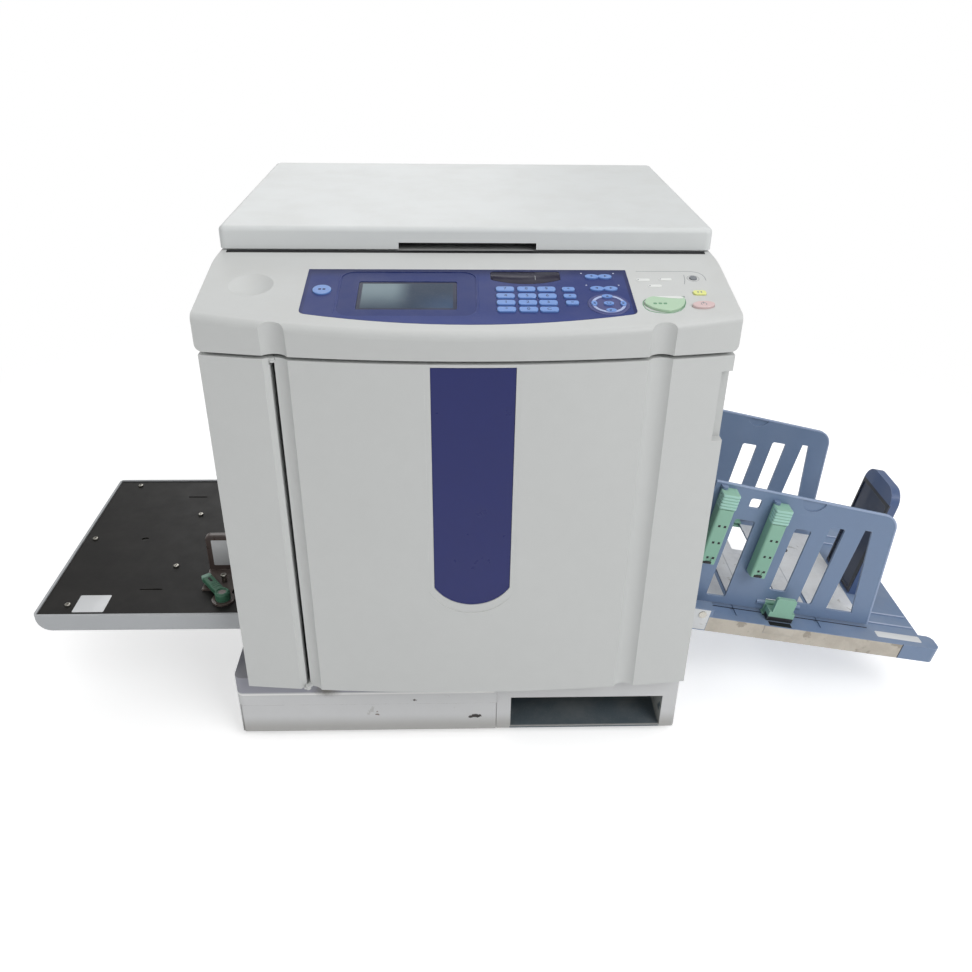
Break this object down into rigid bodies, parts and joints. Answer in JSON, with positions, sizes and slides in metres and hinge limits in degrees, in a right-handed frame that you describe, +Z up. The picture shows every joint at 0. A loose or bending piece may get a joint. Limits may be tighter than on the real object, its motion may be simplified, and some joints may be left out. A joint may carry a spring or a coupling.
{
  "type": "digital duplicator",
  "caption": "Digital duplicator on a low base: bulged front door, sliding scanner table with panel and lid, feed tray at the left, fenced receiving tray at the right.",
  "frame": {"origin": "on the floor, under the middle of the body's width, 350 mm behind the front corners", "axes": "+Z up, -Y towards the front, +X towards the receiving tray"},
  "size_m": [1.4752, 0.7288, 0.796],
  "materials": {
    "cover_white": "fine textured",
    "lid_grey": "fine textured",
    "pad_white": "smooth",
    "base_grey": "painted, satin",
    "foot_rubber": "matte",
    "frame_steel": "zinc plated",
    "bottle_plastic": "smooth",
    "tray_blue": "satin",
    "stop_blue": "satin",
    "floor_grey": "satin",
    "inlay_blue": "satin",
    "plate_blue": "satin",
    "screen_glass": "gloss",
    "bed_glass": "gloss",
    "dark_plastic": "matte",
    "drum_mesh": "perforated screen",
    "roller_rubber": "matte",
    "master_paper": "paper",
    "feed_grey": "fine textured",
    "guide_brown": "smoked",
    "lever_green": "satin",
    "mint_green": "satin",
    "key_blue": "satin",
    "key_dark": "satin",
    "key_yellow": "satin",
    "key_pink": "satin",
    "key_green": "satin"
  },
  "bodies": {
    "cabinet": {"base_plinth": "base_grey", "base_panel": "base_grey", "base_feet": "foot_rubber", "chassis": "frame_steel", "left_side_cover": "cover_white", "right_side_cover": "cover_white", "rear_cover": "cover_white", "left_front_cover": "cover_white", "drum_shaft": "frame_steel", "ink_bottle": "bottle_plastic", "receiving_tray": "tray_blue", "tray_floor": "floor_grey"},
    "door": {"front_door": "cover_white", "door_inlay": "inlay_blue"},
    "scanner_table": {"console_housing": "cover_white", "control_plate": "plate_blue", "touch_screen": "screen_glass", "exposure_glass": "bed_glass"},
    "scan_carriage": {"scan_carriage": "dark_plastic"},
    "lid": {"platen_lid": "lid_grey", "platen_pad": "pad_white"},
    "print_drum": {"print_drum": "drum_mesh"},
    "pressure_roller": {"pressure_roller": "roller_rubber"},
    "master_roll": {"master_roll": "master_paper"},
    "feed_roller": {"feed_roller": "roller_rubber"},
    "feed_carriage": {"feed_carriage": "feed_grey"},
    "feed_tray": {"feed_tray": "feed_grey", "feed_plate": "dark_plastic", "feed_guide": "guide_brown"},
    "guide_lever": {"guide_lever": "lever_green"},
    "near_slider": {"near_slider": "mint_green"},
    "near_fence": {"near_fence": "tray_blue"},
    "near_arranger_1": {"near_arranger_1": "mint_green"},
    "near_arranger_2": {"near_arranger_2": "mint_green"},
    "far_slider": {"far_slider": "mint_green"},
    "far_fence": {"far_fence": "tray_blue"},
    "end_stop": {"end_stop": "stop_blue"},
    "digit_key_1": {"digit_key_1": "key_blue"},
    "digit_key_2": {"digit_key_2": "key_blue"},
    "digit_key_3": {"digit_key_3": "key_blue"},
    "digit_key_4": {"digit_key_4": "key_blue"},
    "digit_key_5": {"digit_key_5": "key_blue"},
    "digit_key_6": {"digit_key_6": "key_blue"},
    "digit_key_7": {"digit_key_7": "key_blue"},
    "digit_key_8": {"digit_key_8": "key_blue"},
    "digit_key_9": {"digit_key_9": "key_blue"},
    "digit_key_10": {"digit_key_10": "key_blue"},
    "digit_key_11": {"digit_key_11": "key_blue"},
    "digit_key_12": {"digit_key_12": "key_blue"},
    "side_key_1": {"side_key_1": "key_blue"},
    "side_key_2": {"side_key_2": "key_blue"},
    "side_key_3": {"side_key_3": "key_blue"},
    "mode_key": {"mode_key": "key_blue"},
    "wake_key": {"wake_key": "key_dark"},
    "reset_key": {"reset_key": "key_yellow"},
    "stop_key": {"stop_key": "key_pink"},
    "start_key": {"start_key": "key_green"},
    "arrow_rocker_1": {"arrow_rocker_1": "key_blue"},
    "arrow_rocker_2": {"arrow_rocker_2": "key_blue"},
    "position_pad": {"position_pad": "key_blue"}
  },
  "joints": [
    {"name": "door_swing", "type": "hinge", "parent": "cabinet", "child": "door", "pos_m": [-0.247, -0.357, 0.132], "axis": [0, 0, -1], "range_deg": [0, 105]},
    {"name": "table_slide", "type": "slide", "parent": "cabinet", "child": "scanner_table", "axis": [1, 0, 0], "range_m": [-0.19, 0]},
    {"name": "scan_travel", "type": "slide", "parent": "scanner_table", "child": "scan_carriage", "axis": [1, 0, 0], "range_m": [0, 0.44]},
    {"name": "lid_open", "type": "hinge", "parent": "scanner_table", "child": "lid", "pos_m": [0, 0.306, 0.778], "axis": [-1, 0, 0], "range_deg": [0, 70]},
    {"name": "drum_turn", "type": "hinge", "parent": "cabinet", "child": "print_drum", "pos_m": [0, -0.072, 0.42], "axis": [0, 1, 0], "continuous": true},
    {"name": "roller_turn", "type": "hinge", "parent": "cabinet", "child": "pressure_roller", "pos_m": [0, -0.072, 0.2997], "axis": [0, 1, 0], "continuous": true},
    {"name": "master_turn", "type": "hinge", "parent": "cabinet", "child": "master_roll", "pos_m": [0.19, -0.072, 0.6], "axis": [0, 1, 0], "continuous": true},
    {"name": "feed_turn", "type": "hinge", "parent": "cabinet", "child": "feed_roller", "pos_m": [-0.285, -0.072, 0.36], "axis": [0, 1, 0], "continuous": true},
    {"name": "feed_lift", "type": "slide", "parent": "cabinet", "child": "feed_carriage", "axis": [0, 0, 1], "range_m": [0, 0.11]},
    {"name": "feed_fold", "type": "hinge", "parent": "feed_carriage", "child": "feed_tray", "pos_m": [-0.332, 0, 0.256], "axis": [0, 1, 0], "range_deg": [0, 90]},
    {"name": "lever_turn", "type": "hinge", "parent": "feed_tray", "child": "guide_lever", "pos_m": [-0.391, -0.246, 0.22], "axis": [0, 0, 1], "range_deg": [0, 45]},
    {"name": "near_slide", "type": "slide", "parent": "cabinet", "child": "near_slider", "axis": [0, -1, 0], "range_m": [-0.1, 0]},
    {"name": "far_slide", "type": "slide", "parent": "cabinet", "child": "far_slider", "axis": [0, 1, 0], "range_m": [-0.1, 0]},
    {"name": "near_fold", "type": "hinge", "parent": "near_slider", "child": "near_fence", "pos_m": [0.52027, -0.222, 0.1852], "axis": [-0.9833, 0, 0.1822], "range_deg": [0, 90]},
    {"name": "far_fold", "type": "hinge", "parent": "far_slider", "child": "far_fence", "pos_m": [0.51844, 0.078, 0.17536], "axis": [0.9833, 0, -0.1822], "range_deg": [0, 90]},
    {"name": "arranger_swing_1", "type": "hinge", "parent": "near_fence", "child": "near_arranger_1", "pos_m": [0.3733, -0.2293, 0.28668], "axis": [-0.1822, 0, -0.9833], "range_deg": [0, 30]},
    {"name": "arranger_swing_2", "type": "hinge", "parent": "near_fence", "child": "near_arranger_2", "pos_m": [0.4596, -0.2293, 0.25848], "axis": [-0.1822, 0, -0.9833], "range_deg": [0, 30]},
    {"name": "stop_slide", "type": "slide", "parent": "cabinet", "child": "end_stop", "axis": [0.9833, 0, -0.1822], "range_m": [0, 0.054]},
    {"name": "digit_key_1_press", "type": "slide", "parent": "scanner_table", "child": "digit_key_1", "axis": [0, 0.1912, -0.9816], "range_m": [0, 0.0012], "stiffness_N_per_m": 400, "springref_m": -0.0006},
    {"name": "digit_key_2_press", "type": "slide", "parent": "scanner_table", "child": "digit_key_2", "axis": [0, 0.1912, -0.9816], "range_m": [0, 0.0012], "stiffness_N_per_m": 400, "springref_m": -0.0006},
    {"name": "digit_key_3_press", "type": "slide", "parent": "scanner_table", "child": "digit_key_3", "axis": [0, 0.1912, -0.9816], "range_m": [0, 0.0012], "stiffness_N_per_m": 400, "springref_m": -0.0006},
    {"name": "digit_key_4_press", "type": "slide", "parent": "scanner_table", "child": "digit_key_4", "axis": [0, 0.1912, -0.9816], "range_m": [0, 0.0012], "stiffness_N_per_m": 400, "springref_m": -0.0006},
    {"name": "digit_key_5_press", "type": "slide", "parent": "scanner_table", "child": "digit_key_5", "axis": [0, 0.1912, -0.9816], "range_m": [0, 0.0012], "stiffness_N_per_m": 400, "springref_m": -0.0006},
    {"name": "digit_key_6_press", "type": "slide", "parent": "scanner_table", "child": "digit_key_6", "axis": [0, 0.1912, -0.9816], "range_m": [0, 0.0012], "stiffness_N_per_m": 400, "springref_m": -0.0006},
    {"name": "digit_key_7_press", "type": "slide", "parent": "scanner_table", "child": "digit_key_7", "axis": [0, 0.1912, -0.9816], "range_m": [0, 0.0012], "stiffness_N_per_m": 400, "springref_m": -0.0006},
    {"name": "digit_key_8_press", "type": "slide", "parent": "scanner_table", "child": "digit_key_8", "axis": [0, 0.1912, -0.9816], "range_m": [0, 0.0012], "stiffness_N_per_m": 400, "springref_m": -0.0006},
    {"name": "digit_key_9_press", "type": "slide", "parent": "scanner_table", "child": "digit_key_9", "axis": [0, 0.1912, -0.9816], "range_m": [0, 0.0012], "stiffness_N_per_m": 400, "springref_m": -0.0006},
    {"name": "digit_key_10_press", "type": "slide", "parent": "scanner_table", "child": "digit_key_10", "axis": [0, 0.1912, -0.9816], "range_m": [0, 0.0012], "stiffness_N_per_m": 400, "springref_m": -0.0006},
    {"name": "digit_key_11_press", "type": "slide", "parent": "scanner_table", "child": "digit_key_11", "axis": [0, 0.1912, -0.9816], "range_m": [0, 0.0012], "stiffness_N_per_m": 400, "springref_m": -0.0006},
    {"name": "digit_key_12_press", "type": "slide", "parent": "scanner_table", "child": "digit_key_12", "axis": [0, 0.1912, -0.9816], "range_m": [0, 0.0012], "stiffness_N_per_m": 400, "springref_m": -0.0006},
    {"name": "side_key_1_press", "type": "slide", "parent": "scanner_table", "child": "side_key_1", "axis": [0, 0.1912, -0.9816], "range_m": [0, 0.0012], "stiffness_N_per_m": 400, "springref_m": -0.0006},
    {"name": "side_key_2_press", "type": "slide", "parent": "scanner_table", "child": "side_key_2", "axis": [0, 0.1912, -0.9816], "range_m": [0, 0.0012], "stiffness_N_per_m": 400, "springref_m": -0.0006},
    {"name": "side_key_3_press", "type": "slide", "parent": "scanner_table", "child": "side_key_3", "axis": [0, 0.1912, -0.9816], "range_m": [0, 0.0012], "stiffness_N_per_m": 400, "springref_m": -0.0006},
    {"name": "mode_key_press", "type": "slide", "parent": "scanner_table", "child": "mode_key", "axis": [0, 0.1912, -0.9816], "range_m": [0, 0.0012], "stiffness_N_per_m": 400, "springref_m": -0.0006},
    {"name": "wake_key_press", "type": "slide", "parent": "scanner_table", "child": "wake_key", "axis": [0, 0.1912, -0.9816], "range_m": [0, 0.0012], "stiffness_N_per_m": 400, "springref_m": -0.0006},
    {"name": "reset_key_press", "type": "slide", "parent": "scanner_table", "child": "reset_key", "axis": [0, 0.1912, -0.9816], "range_m": [0, 0.0012], "stiffness_N_per_m": 400, "springref_m": -0.0006},
    {"name": "stop_key_press", "type": "slide", "parent": "scanner_table", "child": "stop_key", "axis": [0, 0.1912, -0.9816], "range_m": [0, 0.0012], "stiffness_N_per_m": 400, "springref_m": -0.0006},
    {"name": "start_key_press", "type": "slide", "parent": "scanner_table", "child": "start_key", "axis": [0, 0.1912, -0.9816], "range_m": [0, 0.0012], "stiffness_N_per_m": 400, "springref_m": -0.0006},
    {"name": "arrow_rocker_1_tilt", "type": "hinge", "parent": "scanner_table", "child": "arrow_rocker_1", "pos_m": [0.172, -0.25195, 0.74756], "axis": [0, 0.9816, 0.1912], "range_deg": [-2, 2], "stiffness_Nm_per_rad": 0.4},
    {"name": "arrow_rocker_2_tilt", "type": "hinge", "parent": "scanner_table", "child": "arrow_rocker_2", "pos_m": [0.1755, -0.28385, 0.74135], "axis": [0, 0.9816, 0.1912], "range_deg": [-2, 2], "stiffness_Nm_per_rad": 0.4},
    {"name": "position_pad_tilt", "type": "hinge", "parent": "scanner_table", "child": "position_pad", "pos_m": [0.177, -0.32312, 0.7337], "axis": [0, 0.9816, 0.1912], "range_deg": [-1.5, 1.5], "stiffness_Nm_per_rad": 0.8}
  ],
  "couplings": [
    {"joint": "roller_turn", "follows": "drum_turn", "ratio": -3}
  ]
}
